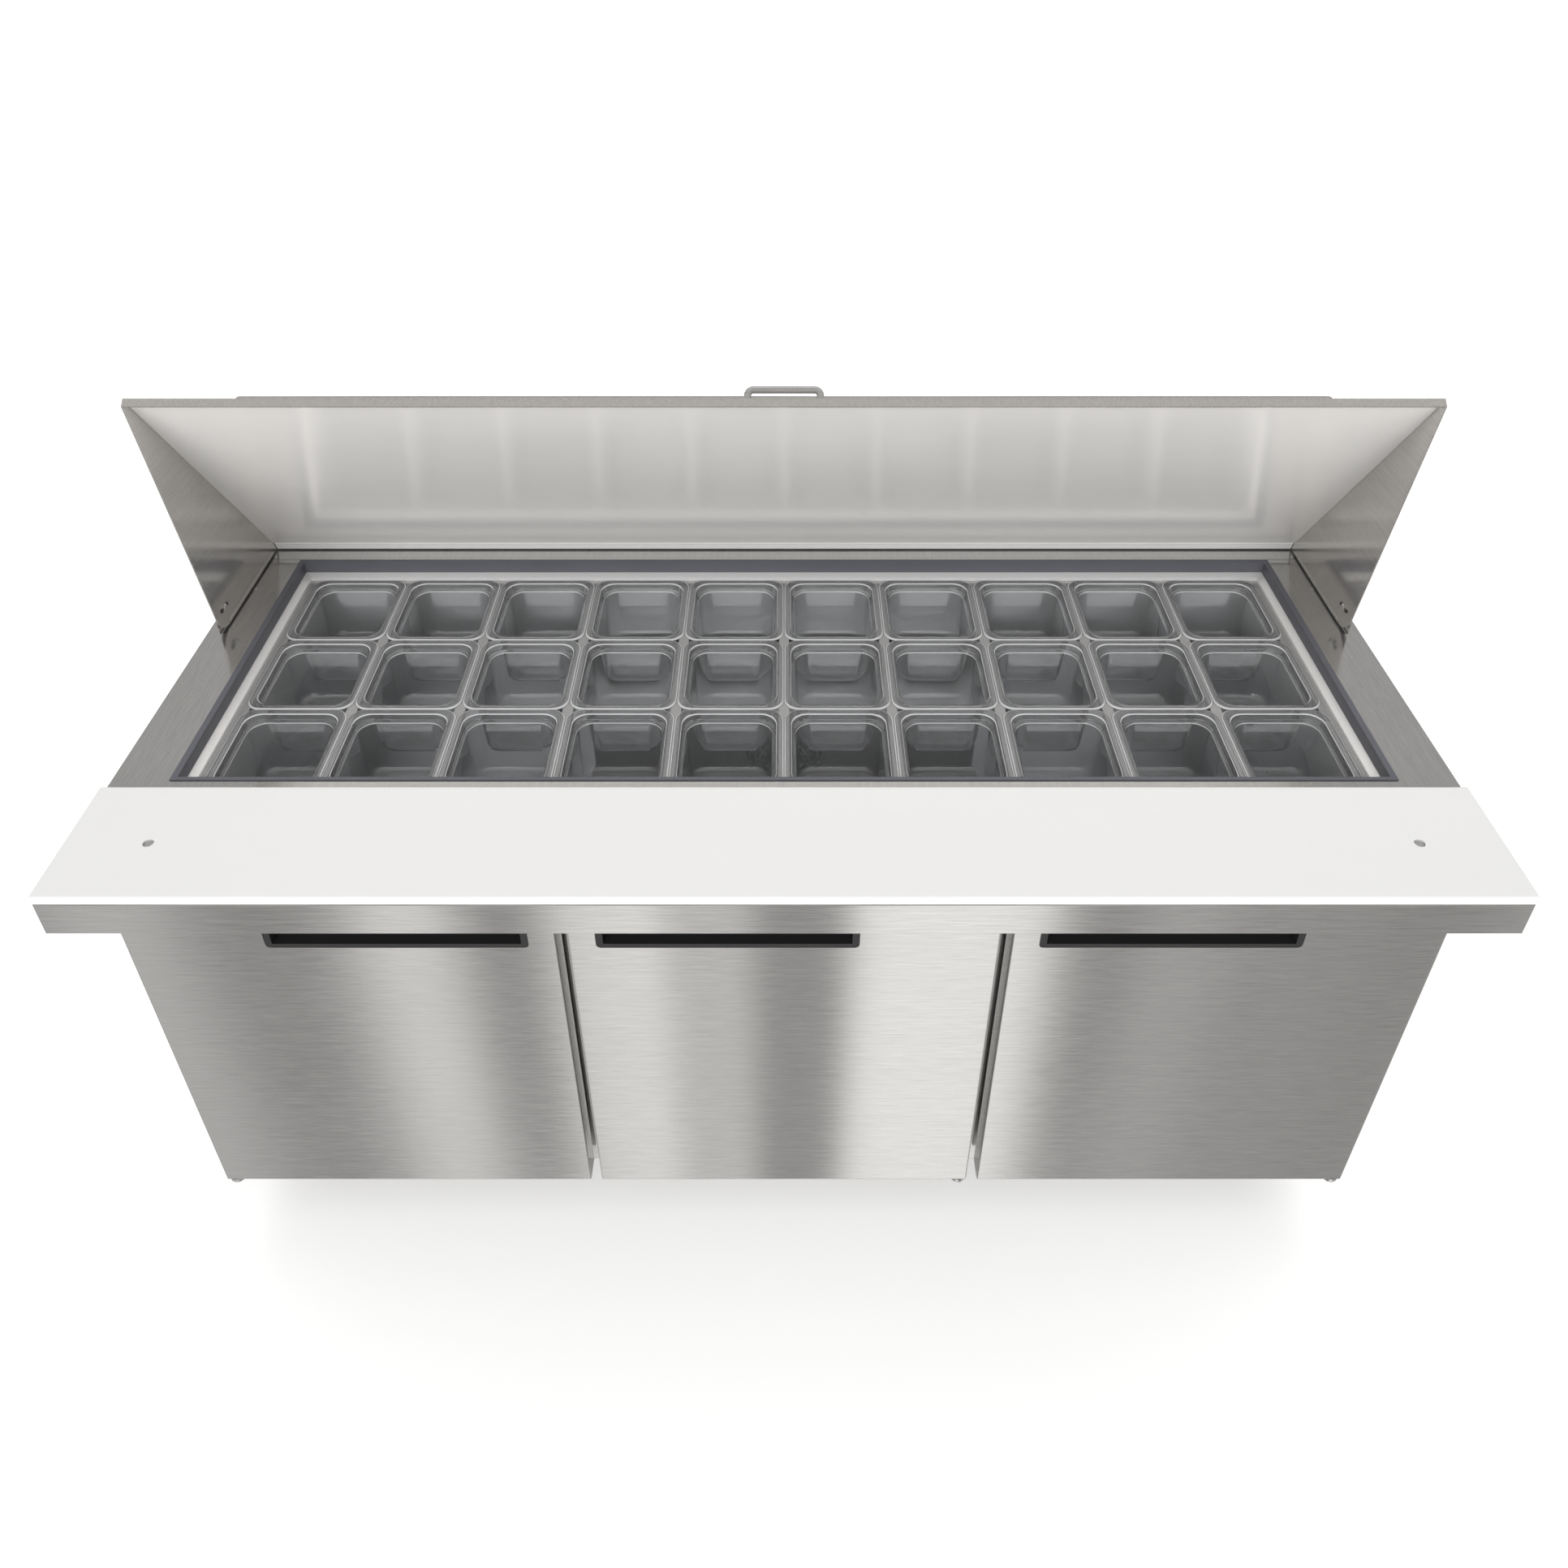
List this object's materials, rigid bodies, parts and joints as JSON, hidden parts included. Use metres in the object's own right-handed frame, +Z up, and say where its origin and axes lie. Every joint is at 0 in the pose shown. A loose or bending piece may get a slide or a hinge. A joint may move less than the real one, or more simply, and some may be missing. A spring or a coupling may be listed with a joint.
{
  "type": "sandwich prep table",
  "caption": "Stainless refrigerated prep counter with doors, cutting board, well of food pans and a flip-up lid in front of a fixed hood.",
  "frame": {"origin": "on the floor, below the middle of the table's bounding box", "axes": "+Z up, +X to the right of someone facing the doors, and the doors and cutting board face -Y"},
  "size_m": [1.829, 0.864, 1.3596],
  "materials": {
    "stainless": "brushed stainless steel, with the grain along the table",
    "lid_lining": "satin stainless lining with soft, blurred reflections",
    "inner_aluminium": "mill-finish aluminium",
    "galvanised": "zinc-coated steel",
    "board": "white polythene, satin",
    "frame_plastic": "dark blue-grey moulded plastic",
    "pan_plastic": "clear polycarbonate",
    "black_plastic": "black moulded plastic",
    "seal_rubber": "dark magnetic door gasket",
    "black_enamel": "black enamel",
    "copper": "bare copper tube"
  },
  "bodies": {
    "table": {"cabinet_shell": "stainless", "cabinet_liner": "inner_aluminium", "rear_grille": "stainless", "leg_front_left": "stainless", "leg_front_right": "stainless", "leg_rear_left": "stainless", "leg_rear_right": "stainless", "worktop": "stainless", "front_nosing": "stainless", "board_pin_left": "stainless", "board_pin_right": "stainless", "well_frame": "frame_plastic", "well_liner": "stainless", "pan_rack": "stainless", "lid_pivot_left": "stainless", "lid_pivot_right": "stainless", "rear_hood": "stainless", "door_left_hinge": "stainless", "door_centre_hinge": "stainless", "door_right_hinge": "stainless", "top_hinge_rail": "stainless", "evaporator_coil": "inner_aluminium", "evaporator_cover": "inner_aluminium", "evaporator_fan_motor": "black_enamel", "compressor": "black_enamel", "condenser_coil": "black_enamel", "condenser_fan_motor": "galvanised", "condensate_pan": "galvanised", "suction_line": "copper", "control_box": "galvanised", "power_inlet": "black_plastic"},
    "lid": {"lid_shell": "stainless", "lid_liner": "lid_lining", "lid_handle": "stainless"},
    "left_door": {"door_left": "stainless", "door_left_gasket": "seal_rubber", "door_left_handle_cup": "black_plastic"},
    "centre_door": {"door_centre": "stainless", "door_centre_gasket": "seal_rubber", "door_centre_handle_cup": "black_plastic"},
    "right_door": {"door_right": "stainless", "door_right_gasket": "seal_rubber", "door_right_handle_cup": "black_plastic"},
    "board": {"cutting_board": "board"},
    "pans_01": {"pan_column_01": "pan_plastic"},
    "pans_02": {"pan_column_02": "pan_plastic"},
    "pans_03": {"pan_column_03": "pan_plastic"},
    "pans_04": {"pan_column_04": "pan_plastic"},
    "pans_05": {"pan_column_05": "pan_plastic"},
    "pans_06": {"pan_column_06": "pan_plastic"},
    "pans_07": {"pan_column_07": "pan_plastic"},
    "pans_08": {"pan_column_08": "pan_plastic"},
    "pans_09": {"pan_column_09": "pan_plastic"},
    "pans_10": {"pan_column_10": "pan_plastic"},
    "left_shelf": {"shelf_left": "galvanised"},
    "centre_shelf": {"shelf_centre": "galvanised"},
    "right_shelf": {"shelf_right": "galvanised"},
    "knob": {"thermostat_knob": "black_plastic"},
    "evaporator_rotor": {"evaporator_fan": "black_plastic"},
    "condenser_rotor": {"condenser_fan": "inner_aluminium"}
  },
  "joints": [
    {"name": "lid_hinge", "type": "hinge", "parent": "table", "child": "lid", "pos_m": [0, 0.158, 0.957], "axis": [-1, 0, 0], "range_deg": [-78.4, 0]},
    {"name": "left_door_hinge", "type": "hinge", "parent": "table", "child": "left_door", "pos_m": [-0.8985, -0.302, 0.146], "axis": [0, 0, -1], "range_deg": [0, 90]},
    {"name": "centre_door_hinge", "type": "hinge", "parent": "table", "child": "centre_door", "pos_m": [0.2855, -0.302, 0.146], "axis": [0, 0, 1], "range_deg": [0, 90]},
    {"name": "right_door_hinge", "type": "hinge", "parent": "table", "child": "right_door", "pos_m": [0.8985, -0.302, 0.146], "axis": [0, 0, 1], "range_deg": [0, 90]},
    {"name": "board_lift", "type": "slide", "parent": "table", "child": "board", "axis": [0, 0, 1], "range_m": [0, 0.15]},
    {"name": "pans_01_lift", "type": "slide", "parent": "table", "child": "pans_01", "axis": [0, 0, 1], "range_m": [0, 0.1]},
    {"name": "pans_02_lift", "type": "slide", "parent": "table", "child": "pans_02", "axis": [0, 0, 1], "range_m": [0, 0.1]},
    {"name": "pans_03_lift", "type": "slide", "parent": "table", "child": "pans_03", "axis": [0, 0, 1], "range_m": [0, 0.1]},
    {"name": "pans_04_lift", "type": "slide", "parent": "table", "child": "pans_04", "axis": [0, 0, 1], "range_m": [0, 0.1]},
    {"name": "pans_05_lift", "type": "slide", "parent": "table", "child": "pans_05", "axis": [0, 0, 1], "range_m": [0, 0.1]},
    {"name": "pans_06_lift", "type": "slide", "parent": "table", "child": "pans_06", "axis": [0, 0, 1], "range_m": [0, 0.1]},
    {"name": "pans_07_lift", "type": "slide", "parent": "table", "child": "pans_07", "axis": [0, 0, 1], "range_m": [0, 0.1]},
    {"name": "pans_08_lift", "type": "slide", "parent": "table", "child": "pans_08", "axis": [0, 0, 1], "range_m": [0, 0.1]},
    {"name": "pans_09_lift", "type": "slide", "parent": "table", "child": "pans_09", "axis": [0, 0, 1], "range_m": [0, 0.1]},
    {"name": "pans_10_lift", "type": "slide", "parent": "table", "child": "pans_10", "axis": [0, 0, 1], "range_m": [0, 0.1]},
    {"name": "left_shelf_lift", "type": "slide", "parent": "table", "child": "left_shelf", "axis": [0, 0, 1], "range_m": [0, 0.03]},
    {"name": "centre_shelf_lift", "type": "slide", "parent": "table", "child": "centre_shelf", "axis": [0, 0, 1], "range_m": [0, 0.03]},
    {"name": "right_shelf_lift", "type": "slide", "parent": "table", "child": "right_shelf", "axis": [0, 0, 1], "range_m": [0, 0.03]},
    {"name": "thermostat_turn", "type": "hinge", "parent": "table", "child": "knob", "pos_m": [0.56, 0.414, 0.3595], "axis": [0, 1, 0], "range_deg": [0, 270]},
    {"name": "evaporator_fan_spin", "type": "hinge", "parent": "table", "child": "evaporator_rotor", "pos_m": [0, 0.2, 0.6595], "axis": [0, 1, 0], "continuous": true},
    {"name": "condenser_fan_spin", "type": "hinge", "parent": "table", "child": "condenser_rotor", "pos_m": [0.235, 0.338, 0.3045], "axis": [0, 1, 0], "continuous": true}
  ]
}
